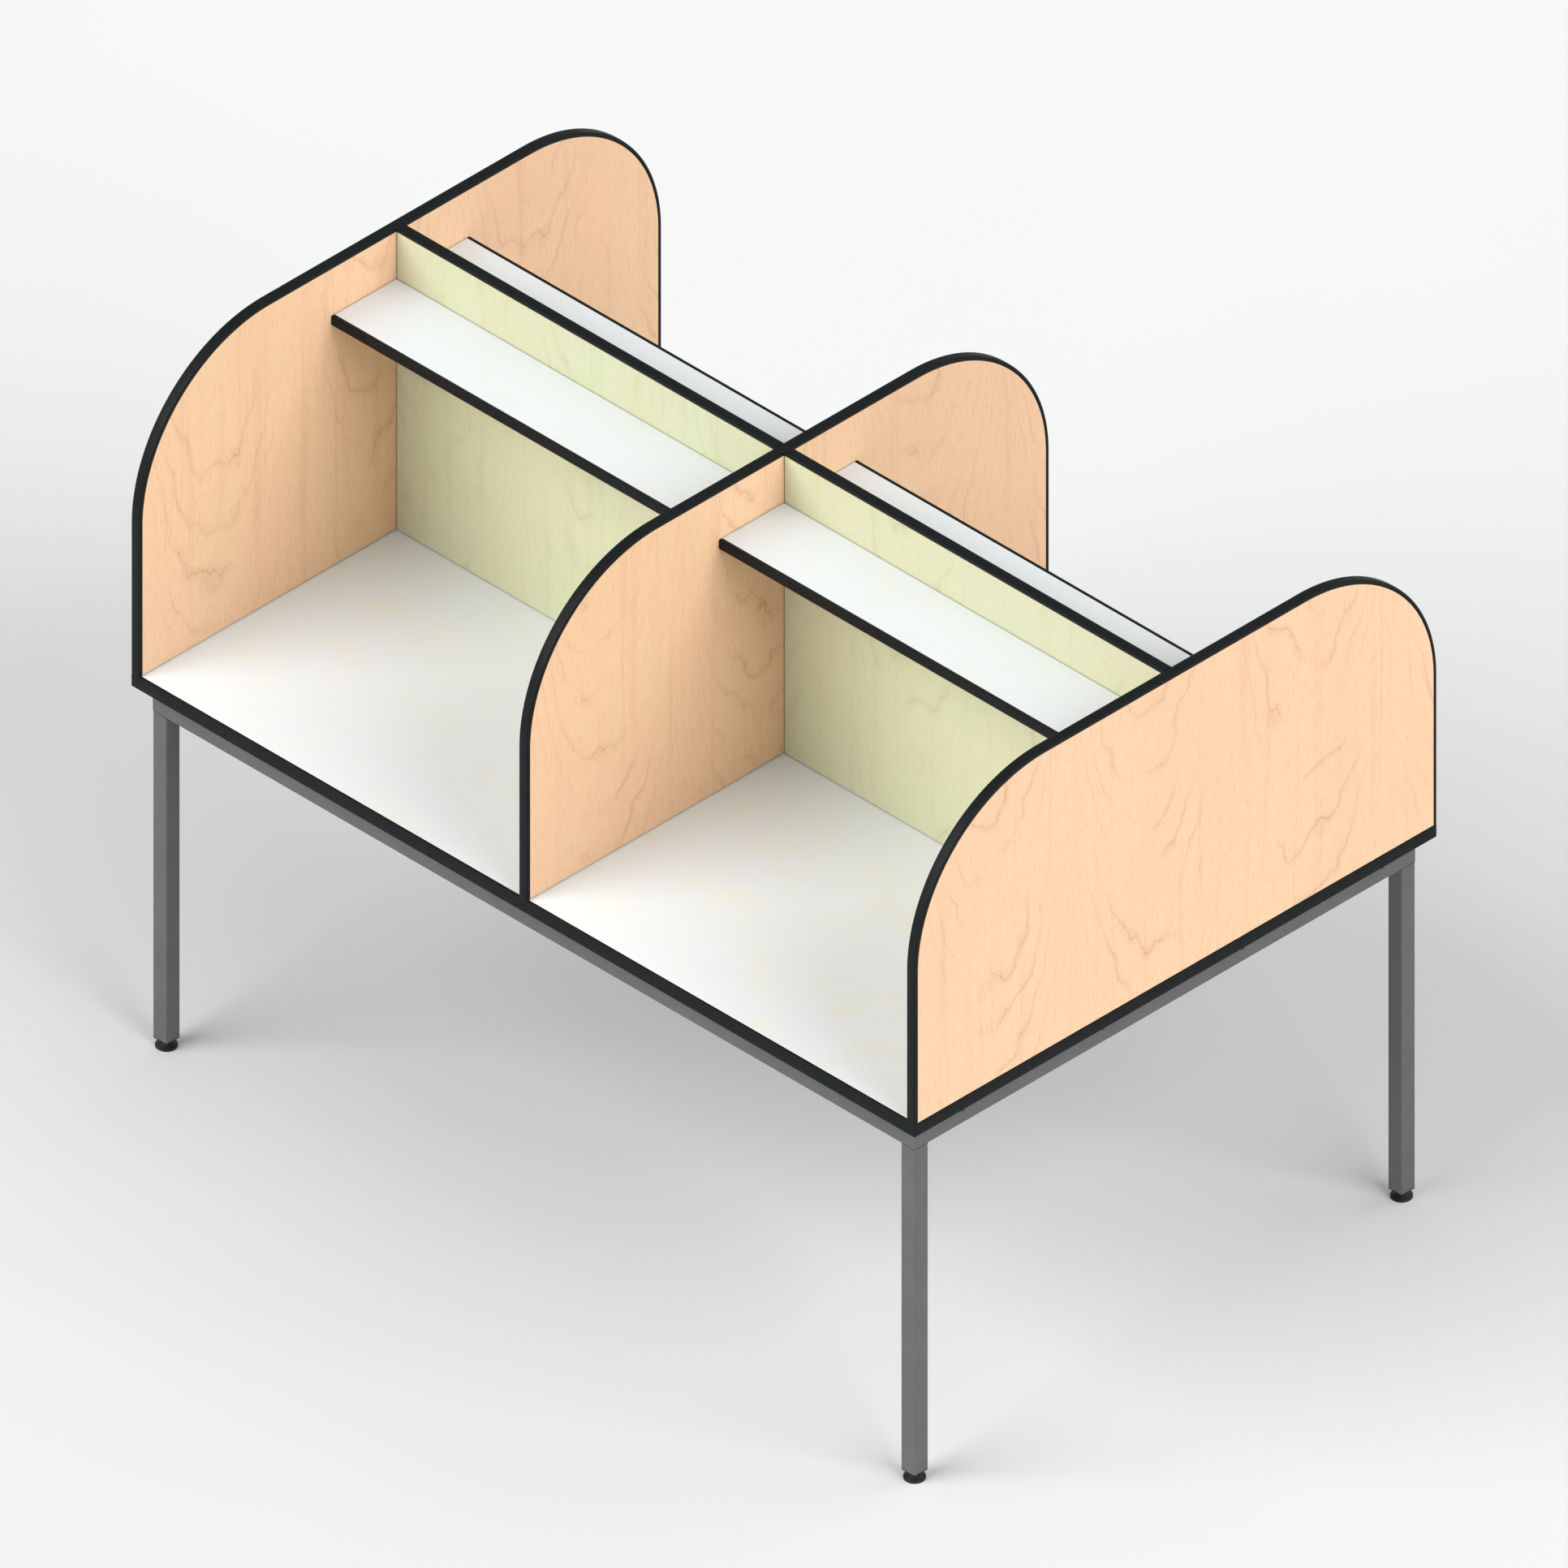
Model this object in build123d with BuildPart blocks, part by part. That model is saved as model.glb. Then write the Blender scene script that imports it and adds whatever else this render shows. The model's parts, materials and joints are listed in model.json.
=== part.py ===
from build123d import *
import os

# Study carrel for four readers: two workstations in front and two behind, back to back,
# on one worktop and one steel table frame. Millimetres, +X along the width, -Y to the
# front and +Z up. The origin is on the floor, under the middle of the worktop.

# ---------------------------------------------------------------- driving dimensions

# Worktop
worktop_width = 1828.8
worktop_depth = 1219.2
worktop_thickness = 25.4
worktop_height = 752.475
laminate_thickness = 0.8
band_thickness = 6.0
band_edge_radius = 1.5

# Side screens and spine, standing on the worktop
screen_height = 609.6
screen_thickness = 19.05
screen_corner_radius = 304.8

# Shelves, fixed between the side screens on both sides of the spine
shelf_depth = 152.4
shelf_thickness = 19.05
shelf_top_height = 508.0

# T-shaped plastic edging of the screens, spine and shelves
edging_thickness = 6.0
edging_edge_radius = 2.5
tongue_thickness = 1.6
tongue_depth = 8.0
groove_clearance = 0.05
groove_end_gap = 1.0

# Steel frame
frame_setback = 25.4
rail_height = 50.8
rail_width = 31.75
leg_size = 31.75
tube_wall = 1.9
tube_corner_radius = 2.0
foot_height = 19.05

# Steel plates and tabs that the worktop is screwed to
plate_thickness = 3.0
corner_plate_leg = 90.0
corner_screw_near = 15.0
corner_screw_far = 55.0
tab_length = 40.0
tab_reach = 30.0

# Worktop screws
screw_radius = 2.4
screw_grip = 14.0
screw_head_radius = 4.8
screw_head_height = 3.0
recess_width = 1.2
recess_depth = 1.6

# Bolts and threaded inserts that hold the screens and the spine
bolt_radius = 3.0
bolt_head_radius = 5.0
bolt_head_height = 5.0
bolt_key_radius = 2.9
bolt_key_depth = 2.5
bolt_hole_clearance = 0.3
bolt_core_wall = 0.2
bolt_access_radius = 8.0
washer_radius = 6.25
washer_thickness = 1.6
bolt_end_distance = 120.0
side_bolt_count = 4
spine_bolt_count = 3
insert_radius = 5.0
insert_length = 14.0
insert_end_gap = 2.0

# Dowels between the spine and the side screens
dowel_radius = 4.0
dowel_depth_in_spine = 25.0
dowel_depth_in_screen = 12.0
dowel_end_gap = 1.0
dowel_count = 3
dowel_end_distance = 90.0

# Cam locks of the shelves
cam_radius = 7.5
cam_depth = 12.5
cam_end_distance = 34.0
cam_front_gap = 0.5
cam_edge_distance = 37.0
cam_bolt_radius = 3.0
cam_bolt_head_radius = 3.6
cam_bolt_head_length = 3.0
cam_bolt_hole_radius = 4.0
cam_thread_radius = 2.5
cam_thread_depth = 11.0
cam_slot_width = 1.6
cam_slot_depth = 2.0

# Levelling feet
plug_flange_height = 2.5
plug_body_height = 27.0
plug_clearance = 0.1
plug_corner_radius = 1.5
stem_radius = 5.0
stem_length = 30.0
hexagon_height = 7.0
hexagon_across_flats = 14.0
neck_radius = 4.5
disc_radius = 6.5
disc_height = 2.5
disc_floor = 2.5
foot_radius = 19.05
foot_rim_height = 4.5
foot_top_radius = 10.0
foot_edge_radius = 1.0
foot_headroom = 0.3

# Fits between pieces that touch all round
fit_clearance = 0.05

# ---------------------------------------------------------------- derived positions

worktop_bottom = worktop_height - worktop_thickness
screen_top = worktop_height + screen_height
rail_bottom = worktop_bottom - rail_height
plate_bottom = worktop_bottom - plate_thickness

frame_width = worktop_width - 2 * frame_setback
frame_depth = worktop_depth - 2 * frame_setback

side_screen_x = {
    "left": (screen_thickness - worktop_width) / 2,
    "middle": 0.0,
    "right": (worktop_width - screen_thickness) / 2,
}
bay_width = (worktop_width - 3 * screen_thickness) / 2
bay_centre = (screen_thickness + bay_width) / 2
shelf_top = worktop_height + shelf_top_height
shelf_bottom = shelf_top - shelf_thickness
shelf_middle = shelf_top - shelf_thickness / 2

sides = {"left": -1, "right": 1}
rows = {"front": -1, "back": 1}

FLOOR_UP = (Align.CENTER, Align.CENTER, Align.MIN)
TOP_DOWN = (Align.CENTER, Align.CENTER, Align.MAX)


def spaced(count, span):
    """Evenly spaced positions about zero, the first and last a span apart."""
    return [span * (i / (count - 1) - 0.5) for i in range(count)]


# The bolts of the end screens stand in the middle of the board, but clear of the edge band
end_bolt_inset = max(
    screen_thickness / 2,
    band_thickness + bolt_radius + bolt_hole_clearance + bolt_core_wall,
)
bolt_x = {
    "left": end_bolt_inset - worktop_width / 2,
    "middle": 0.0,
    "right": worktop_width / 2 - end_bolt_inset,
}
side_bolt_y = spaced(side_bolt_count, worktop_depth - 2 * bolt_end_distance)
spine_bolt_x = spaced(spine_bolt_count, bay_width - 2 * bolt_end_distance)
dowel_middle = worktop_height + screen_height / 2
dowel_z = [dowel_middle + z for z in spaced(dowel_count, screen_height - 2 * dowel_end_distance)]
cam_offsets = [
    screen_thickness / 2 + cam_edge_distance,
    screen_thickness / 2 + shelf_depth - cam_edge_distance,
]
cam_y = [row * offset for row in rows.values() for offset in cam_offsets]

end_bolt_points = [(bolt_x[side], y) for side in sides for y in side_bolt_y]
middle_bolt_points = [(0.0, y) for y in side_bolt_y]
spine_bolt_points = [(side * bay_centre + x, 0.0) for side in sides.values() for x in spine_bolt_x]
outer_bolt_points = end_bolt_points + spine_bolt_points
bolt_points = outer_bolt_points + middle_bolt_points

inner_corner = (frame_width / 2 - rail_width, frame_depth / 2 - rail_width)
corner_screw_points = []
for x_sign in sides.values():
    for y_sign in rows.values():
        for dx, dy in ((corner_screw_far, corner_screw_near), (corner_screw_near, corner_screw_far)):
            point = (x_sign * (inner_corner[0] - dx), y_sign * (inner_corner[1] - dy))
            corner_screw_points.append(point)

tab_places = []
for y_sign in rows.values():
    for x in (-frame_width / 4, frame_width / 4):
        tab_places.append((x, y_sign * (inner_corner[1] - tab_reach / 2), 0))
for x_sign in sides.values():
    tab_places.append((x_sign * (inner_corner[0] - tab_reach / 2), 0.0, 90))
tab_screw_points = [(x, y) for x, y, turn in tab_places]
screw_points = corner_screw_points + tab_screw_points

leg_x = (frame_width - leg_size) / 2
leg_y = (frame_depth - leg_size) / 2

# ---------------------------------------------------------------- helpers

os.makedirs("parts", exist_ok=True)


def save(piece, name):
    """Name a finished piece and write it."""
    piece.part.label = name
    export_step(piece.part, f"parts/{name}.step")


def drill(points, radius, bottom, top):
    """Cut upright round holes at points, between two heights."""
    with Locations(*[(x, y, bottom) for x, y in points]):
        Cylinder(radius, top - bottom, align=FLOOR_UP, mode=Mode.SUBTRACT)


def edging_profile(width):
    """Section of the T edging: outer face along y = 0, tongue towards +y."""
    with BuildSketch() as section:
        Rectangle(width, edging_thickness, align=(Align.CENTER, Align.MIN))
        fillet(section.vertices().group_by(Axis.Y)[0], radius=edging_edge_radius)
        with Locations((0, edging_thickness)):
            Rectangle(tongue_thickness, tongue_depth, align=(Align.CENTER, Align.MIN))
    return section.sketch


def groove_profile():
    """Section of the groove that the tongue sits in, open to the edge of the board."""
    with BuildSketch() as section:
        with Locations((0, edging_thickness / 2)):
            Rectangle(
                tongue_thickness + 2 * groove_clearance,
                edging_thickness / 2 + tongue_depth + groove_end_gap,
                align=(Align.CENTER, Align.MIN),
            )
    return section.sketch


screen_edging = edging_profile(screen_thickness)
shelf_edging = edging_profile(shelf_thickness)
groove = groove_profile()

# ---------------------------------------------------------------- worktop

core_width = worktop_width - 2 * band_thickness
core_depth = worktop_depth - 2 * band_thickness
core_bottom = worktop_bottom + laminate_thickness
core_top = worktop_height - laminate_thickness


def worktop_layer(name, bottom, top, screw_holes):
    """One layer of the worktop, with the holes of the bolts and screws that pass it."""
    with BuildPart() as layer:
        with BuildSketch(Plane.XY.offset(bottom)):
            Rectangle(core_width, core_depth)
        extrude(amount=top - bottom)
        drill(bolt_points, bolt_radius + bolt_hole_clearance, bottom, top)
        if screw_holes:
            screw_top = worktop_bottom + screw_grip + fit_clearance
            drill(screw_points, screw_radius + fit_clearance, bottom, min(top, screw_top))
    save(layer, name)


worktop_layer("worktop_backer", worktop_bottom, core_bottom, screw_holes=True)
worktop_layer("worktop_core", core_bottom, core_top, screw_holes=True)
worktop_layer("worktop_laminate", core_top, worktop_height, screw_holes=False)


def worktop_band(name, centre, length, long_axis):
    """A flat edge band the full thickness of the worktop, its outer edges rounded."""
    width, depth = (length, band_thickness) if long_axis == Axis.X else (band_thickness, length)
    with BuildPart() as band:
        with BuildSketch(Plane.XY.offset(worktop_bottom)):
            with Locations(centre):
                Rectangle(width, depth)
        extrude(amount=worktop_thickness)
        across = Axis.Y if long_axis == Axis.X else Axis.X
        outer_side = -1 if sum(centre) > 0 else 0
        outer_face = band.faces().sort_by(across)[outer_side]
        fillet(outer_face.edges().filter_by(long_axis), radius=band_edge_radius)
    save(band, name)


for row, y_sign in rows.items():
    band_y = y_sign * (worktop_depth - band_thickness) / 2
    worktop_band(f"worktop_band_{row}", (0, band_y), worktop_width, Axis.X)
for side, x_sign in sides.items():
    band_x = x_sign * (worktop_width - band_thickness) / 2
    worktop_band(f"worktop_band_{side}", (band_x, 0), core_depth, Axis.Y)

# ---------------------------------------------------------------- side screens


def screen_edge_path(x):
    """The finished front, top and back edges of a side screen, in its middle plane."""
    half_depth = worktop_depth / 2
    with BuildLine(Plane.YZ.offset(x)) as path:
        FilletPolyline(
            (-half_depth, worktop_height),
            (-half_depth, screen_top),
            (half_depth, screen_top),
            (half_depth, worktop_height),
            radius=screen_corner_radius,
        )
    return path.line


def side_screen(place, bay_sides):
    """A side screen board, and its edging. bay_sides are the x directions of its bays."""
    name = f"side_screen_{place}"
    x = side_screen_x[place]
    path = screen_edge_path(x)
    path_start = Plane.XY.move(Location((x, -worktop_depth / 2, worktop_height)))
    through = len(bay_sides) == 2

    with BuildPart() as board:
        with BuildSketch(Plane.YZ.offset(x)) as outline:
            with Locations((0, worktop_height)):
                Rectangle(
                    worktop_depth - 2 * edging_thickness,
                    screen_height - edging_thickness,
                    align=(Align.CENTER, Align.MIN),
                )
            upper_corners = outline.vertices().group_by(Axis.Y)[-1]
            fillet(upper_corners, radius=screen_corner_radius - edging_thickness)
        extrude(amount=screen_thickness / 2, both=True)
        with BuildSketch(path_start):
            add(groove)
        sweep(path=path, mode=Mode.SUBTRACT)
        insert_top = worktop_height + insert_length + insert_end_gap
        bottom_points = [(bolt_x[place], y) for y in side_bolt_y]
        drill(bottom_points, insert_radius + fit_clearance, worktop_height, insert_top)
        for bay_side in bay_sides:
            face_x = x + bay_side * screen_thickness / 2
            dowel_depth = screen_thickness if through else dowel_depth_in_screen
            with Locations(*[Plane((face_x, 0, z), z_dir=(bay_side, 0, 0)) for z in dowel_z]):
                Hole(dowel_radius + fit_clearance, depth=dowel_depth)
            cam_planes = [Plane((face_x, y, shelf_middle), z_dir=(bay_side, 0, 0)) for y in cam_y]
            with Locations(*cam_planes):
                if through:
                    Hole(cam_bolt_radius + fit_clearance, depth=screen_thickness)
                else:
                    Hole(cam_thread_radius + fit_clearance, depth=cam_thread_depth + fit_clearance)
    save(board, name)

    with BuildPart() as edging:
        with BuildSketch(path_start):
            add(screen_edging)
        sweep(path=path)
    save(edging, f"{name}_edging")


side_screen("left", [1])
side_screen("middle", [-1, 1])
side_screen("right", [-1])

# ---------------------------------------------------------------- spine

for side, x_sign in sides.items():
    spine_x = x_sign * bay_centre
    spine_start = spine_x - bay_width / 2
    top_edge = Plane((spine_start, 0, screen_top), x_dir=(0, -1, 0), z_dir=(1, 0, 0))

    with BuildPart() as spine:
        with BuildSketch(Plane.XY.offset(worktop_height)):
            with Locations((spine_x, 0)):
                Rectangle(bay_width, screen_thickness)
        extrude(amount=screen_height - edging_thickness)
        with BuildSketch(top_edge):
            add(groove)
        extrude(amount=bay_width, mode=Mode.SUBTRACT)
        insert_top = worktop_height + insert_length + insert_end_gap
        bottom_points = [(spine_x + x, 0) for x in spine_bolt_x]
        drill(bottom_points, insert_radius + fit_clearance, worktop_height, insert_top)
        for end in (-1, 1):
            end_x = spine_x + end * bay_width / 2
            with Locations(*[Plane((end_x, 0, z), z_dir=(end, 0, 0)) for z in dowel_z]):
                Hole(dowel_radius + fit_clearance, depth=dowel_depth_in_spine + dowel_end_gap)
    save(spine, f"spine_{side}")

    with BuildPart() as edging:
        with BuildSketch(top_edge):
            add(screen_edging)
        extrude(amount=bay_width)
    save(edging, f"spine_{side}_edging")

# ---------------------------------------------------------------- shelves

cam_points = []
for row, y_sign in rows.items():
    for side, x_sign in sides.items():
        shelf_x = x_sign * bay_centre
        inner_y = y_sign * screen_thickness / 2
        outer_y = y_sign * (screen_thickness / 2 + shelf_depth)
        board_outer_y = outer_y - y_sign * edging_thickness
        shelf_ends = [(end, shelf_x + end * bay_width / 2) for end in (-1, 1)]
        own_cam_y = [y_sign * offset for offset in cam_offsets]
        own_cams = [(end_x - end * cam_end_distance, y) for end, end_x in shelf_ends for y in own_cam_y]
        cam_points += [(x, y, shelf_x) for x, y in own_cams]
        outer_edge = Plane(
            (shelf_x - bay_width / 2, outer_y, shelf_middle),
            x_dir=(0, 0, y_sign),
            z_dir=(1, 0, 0),
        )

        with BuildPart() as shelf:
            with BuildSketch(Plane.XY.offset(shelf_bottom)):
                with Locations((shelf_x, (inner_y + board_outer_y) / 2)):
                    Rectangle(bay_width, abs(board_outer_y - inner_y))
            extrude(amount=shelf_thickness)
            with BuildSketch(outer_edge):
                add(groove)
            extrude(amount=bay_width, mode=Mode.SUBTRACT)
            drill(own_cams, cam_radius + fit_clearance, shelf_bottom, shelf_bottom + cam_depth)
            for end, end_x in shelf_ends:
                bolt_planes = [Plane((end_x, y, shelf_middle), z_dir=(end, 0, 0)) for y in own_cam_y]
                with Locations(*bolt_planes):
                    Hole(cam_bolt_hole_radius, depth=cam_end_distance + cam_front_gap)
        save(shelf, f"shelf_{row}_{side}")

        with BuildPart() as edging:
            with BuildSketch(outer_edge):
                add(shelf_edging)
            extrude(amount=bay_width)
        save(edging, f"shelf_{row}_{side}_edging")

# ---------------------------------------------------------------- shelf fittings

# One cam, its underside at z = 0 and its mouth towards +X, with a pocket for the bolt's head
cam_height = cam_depth - fit_clearance
cam_axis_height = shelf_thickness / 2
with BuildPart() as cam:
    Cylinder(cam_radius, cam_height, align=FLOOR_UP)
    with Locations(Plane((cam_radius, 0, cam_axis_height), z_dir=(1, 0, 0))):
        Hole(cam_bolt_radius + fit_clearance, depth=cam_radius)
    with Locations(Plane((cam_bolt_head_length + fit_clearance, 0, cam_axis_height), z_dir=(1, 0, 0))):
        pocket_depth = cam_bolt_head_length + 2 * fit_clearance
        Hole(cam_bolt_head_radius + fit_clearance, depth=pocket_depth)
    for length, width in ((2 * cam_radius - 4, cam_slot_width), (cam_slot_width, 2 * cam_radius - 4)):
        Box(length, width, cam_slot_depth, align=FLOOR_UP, mode=Mode.SUBTRACT)

cam_locations = []
for x, y, shelf_x in cam_points:
    turn = 0 if x > shelf_x else 180
    cam_locations.append(Location((x, y, shelf_bottom), (0, 0, turn)))
with BuildPart() as shelf_cams:
    with Locations(*cam_locations):
        add(cam.part)
save(shelf_cams, "shelf_cams")

# One half of a cam bolt, from the screen's face at z = 0 into the shelf along +Z
bolt_reach = cam_end_distance
with BuildPart() as cam_bolt_end:
    Cylinder(cam_bolt_radius, bolt_reach - cam_bolt_head_length, align=FLOOR_UP)
    with Locations((0, 0, bolt_reach - cam_bolt_head_length)):
        Cylinder(cam_bolt_head_radius, cam_bolt_head_length, align=FLOOR_UP)

with BuildPart() as cam_bolts:
    for side, x_sign in sides.items():
        face_x = side_screen_x[side] - x_sign * screen_thickness / 2
        inward = [Plane((face_x, y, shelf_middle), z_dir=(-x_sign, 0, 0)) for y in cam_y]
        with Locations(*inward):
            add(cam_bolt_end.part)
            Cylinder(cam_thread_radius, cam_thread_depth, align=TOP_DOWN)
save(cam_bolts, "shelf_cam_bolts")

with BuildPart() as double_cam_bolts:
    for x_sign in sides.values():
        outward = [
            Plane((x_sign * screen_thickness / 2, y, shelf_middle), z_dir=(x_sign, 0, 0))
            for y in cam_y
        ]
        with Locations(*outward):
            add(cam_bolt_end.part)
            Cylinder(cam_bolt_radius, screen_thickness / 2, align=TOP_DOWN)
save(double_cam_bolts, "shelf_double_cam_bolts")

# ---------------------------------------------------------------- dowels

middle_dowel_length = screen_thickness + 2 * dowel_depth_in_spine
end_dowel_length = dowel_depth_in_screen - dowel_end_gap + dowel_depth_in_spine
with BuildPart() as dowels:
    with Locations(*[Plane((-middle_dowel_length / 2, 0, z), z_dir=(1, 0, 0)) for z in dowel_z]):
        Cylinder(dowel_radius, middle_dowel_length, align=FLOOR_UP)
    for side, x_sign in sides.items():
        dowel_x = side_screen_x[side] - x_sign * (screen_thickness / 2 + dowel_depth_in_spine)
        with Locations(*[Plane((dowel_x, 0, z), z_dir=(x_sign, 0, 0)) for z in dowel_z]):
            Cylinder(dowel_radius, end_dowel_length, align=FLOOR_UP)
save(dowels, "spine_dowels")

# ---------------------------------------------------------------- screen bolts and inserts

with BuildPart() as insert:
    Cylinder(insert_radius, insert_length, align=FLOOR_UP)
    Cylinder(bolt_radius + fit_clearance, insert_length, align=FLOOR_UP, mode=Mode.SUBTRACT)

with BuildPart() as screen_inserts:
    with Locations(*[(x, y, worktop_height) for x, y in bolt_points]):
        add(insert.part)
save(screen_inserts, "screen_inserts")


def socket_bolts(name, points, washer_top):
    """Socket-head bolts under washers, reaching up to the ends of the inserts."""
    seat_height = washer_top - washer_thickness
    with BuildPart() as bolt:
        Cylinder(bolt_radius, worktop_height + insert_length - seat_height, align=FLOOR_UP)
        Cylinder(bolt_head_radius, bolt_head_height, align=TOP_DOWN)
        with BuildSketch(Plane.XY.offset(-bolt_head_height)):
            RegularPolygon(bolt_key_radius, 6)
        extrude(amount=bolt_key_depth, mode=Mode.SUBTRACT)
    with BuildPart() as bolts:
        with Locations(*[(x, y, seat_height) for x, y in points]):
            add(bolt.part)
    save(bolts, name)


outer_washer_top = worktop_bottom
middle_washer_top = worktop_bottom - tube_wall
socket_bolts("screen_bolts", outer_bolt_points, outer_washer_top)
socket_bolts("middle_screen_bolts", middle_bolt_points, middle_washer_top)

washer_places = [(x, y, outer_washer_top) for x, y in outer_bolt_points]
washer_places += [(x, y, middle_washer_top) for x, y in middle_bolt_points]
with BuildPart() as bolt_washers:
    with Locations(*washer_places):
        Cylinder(washer_radius, washer_thickness, align=TOP_DOWN)
        Cylinder(
            bolt_radius + fit_clearance, washer_thickness, align=TOP_DOWN, mode=Mode.SUBTRACT
        )
save(bolt_washers, "bolt_washers")

# ---------------------------------------------------------------- steel frame


def mitred_section(length, offset, outer_inset, inner_inset):
    """Plan of a rail along +X whose outer edge is at y = -offset, mitred at both ends."""
    near = offset - outer_inset
    far = offset - rail_width + inner_inset
    half = length / 2
    with BuildSketch() as plan:
        Polygon(
            (-half + outer_inset, -near),
            (half - outer_inset, -near),
            (half - rail_width + inner_inset, -far),
            (-half + rail_width - inner_inset, -far),
            align=None,
        )
    return plan.sketch


def apron_rail(name, length, offset, turn):
    """A rectangular tube of the apron, mitred to its neighbours, turned about Z."""
    outer_plan = mitred_section(length, offset, 0, 0)
    cavity_plan = mitred_section(length, offset, tube_wall, tube_wall)
    turned = Plane.XY.rotated((0, 0, turn))
    with BuildPart() as rail:
        with BuildSketch(turned.offset(rail_bottom)):
            add(outer_plan)
        extrude(amount=rail_height)
        long_axis = Axis.X if turn % 180 == 0 else Axis.Y
        fillet(rail.edges().filter_by(long_axis), radius=tube_corner_radius)
        with BuildSketch(turned.offset(rail_bottom + tube_wall)):
            add(cavity_plan)
        extrude(amount=rail_height - 2 * tube_wall, mode=Mode.SUBTRACT)
    save(rail, name)


apron_rail("apron_rail_front", frame_width, frame_depth / 2, 0)
apron_rail("apron_rail_right", frame_depth, frame_width / 2, 90)
apron_rail("apron_rail_back", frame_width, frame_depth / 2, 180)
apron_rail("apron_rail_left", frame_depth, frame_width / 2, 270)

cross_rail_length = frame_depth - 2 * rail_width
with BuildPart() as cross_rail:
    with BuildSketch(Plane.XZ.offset(-cross_rail_length / 2)):
        with Locations((0, rail_bottom + rail_height / 2)):
            RectangleRounded(rail_width, rail_height, tube_corner_radius)
            Rectangle(rail_width - 2 * tube_wall, rail_height - 2 * tube_wall, mode=Mode.SUBTRACT)
    extrude(amount=cross_rail_length)
    drill(middle_bolt_points, bolt_access_radius, rail_bottom, rail_bottom + tube_wall)
    hole_radius = bolt_radius + bolt_hole_clearance
    drill(middle_bolt_points, hole_radius, worktop_bottom - tube_wall, worktop_bottom)
save(cross_rail, "cross_rail")

for row, y_sign in rows.items():
    for side, x_sign in sides.items():
        leg_length = rail_bottom - foot_height
        with BuildPart() as leg:
            with BuildSketch(Plane.XY.offset(foot_height)):
                with Locations((x_sign * leg_x, y_sign * leg_y)):
                    RectangleRounded(leg_size, leg_size, tube_corner_radius)
                    bore_size = leg_size - 2 * tube_wall
                    Rectangle(bore_size, bore_size, mode=Mode.SUBTRACT)
            extrude(amount=leg_length)
        save(leg, f"leg_{row}_{side}")

# ---------------------------------------------------------------- plates, tabs and screws

screw_hole_radius = screw_radius + bolt_hole_clearance

for row, y_sign in rows.items():
    for side, x_sign in sides.items():
        corner_x = x_sign * inner_corner[0]
        corner_y = y_sign * inner_corner[1]
        own_screws = [p for p in corner_screw_points if p[0] * x_sign > 0 and p[1] * y_sign > 0]
        with BuildPart() as plate:
            with BuildSketch(Plane.XY.offset(plate_bottom)):
                Polygon(
                    (corner_x, corner_y),
                    (corner_x - x_sign * corner_plate_leg, corner_y),
                    (corner_x, corner_y - y_sign * corner_plate_leg),
                    align=None,
                )
            extrude(amount=plate_thickness)
            drill(own_screws, screw_hole_radius, plate_bottom, worktop_bottom)
        save(plate, f"corner_plate_{row}_{side}")

with BuildPart() as fixing_tabs:
    for x, y, turn in tab_places:
        with BuildSketch(Plane.XY.offset(plate_bottom)):
            with Locations(Location((x, y, 0), (0, 0, turn))):
                Rectangle(tab_length, tab_reach)
        extrude(amount=plate_thickness)
    drill(tab_screw_points, screw_hole_radius, plate_bottom, worktop_bottom)
save(fixing_tabs, "fixing_tabs")

# One screw, the underside of its head at z = 0
with BuildPart() as screw:
    Cylinder(screw_radius, plate_thickness + screw_grip, align=FLOOR_UP)
    Cylinder(screw_head_radius, screw_head_height, align=TOP_DOWN)
    fillet(screw.faces().sort_by(Axis.Z)[0].edges(), radius=screw_head_height / 2)
    with Locations((0, 0, -screw_head_height)):
        Box(screw_head_radius, recess_width, recess_depth, align=FLOOR_UP, mode=Mode.SUBTRACT)
        Box(recess_width, screw_head_radius, recess_depth, align=FLOOR_UP, mode=Mode.SUBTRACT)

with BuildPart() as worktop_screws:
    with Locations(*[(x, y, plate_bottom) for x, y in screw_points]):
        add(screw.part)
save(worktop_screws, "worktop_screws")

# ---------------------------------------------------------------- levelling feet

flange_bottom = foot_height - plug_flange_height
hexagon_bottom = flange_bottom - hexagon_height
disc_top = disc_floor + disc_height
foot_top = hexagon_bottom - foot_headroom

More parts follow.
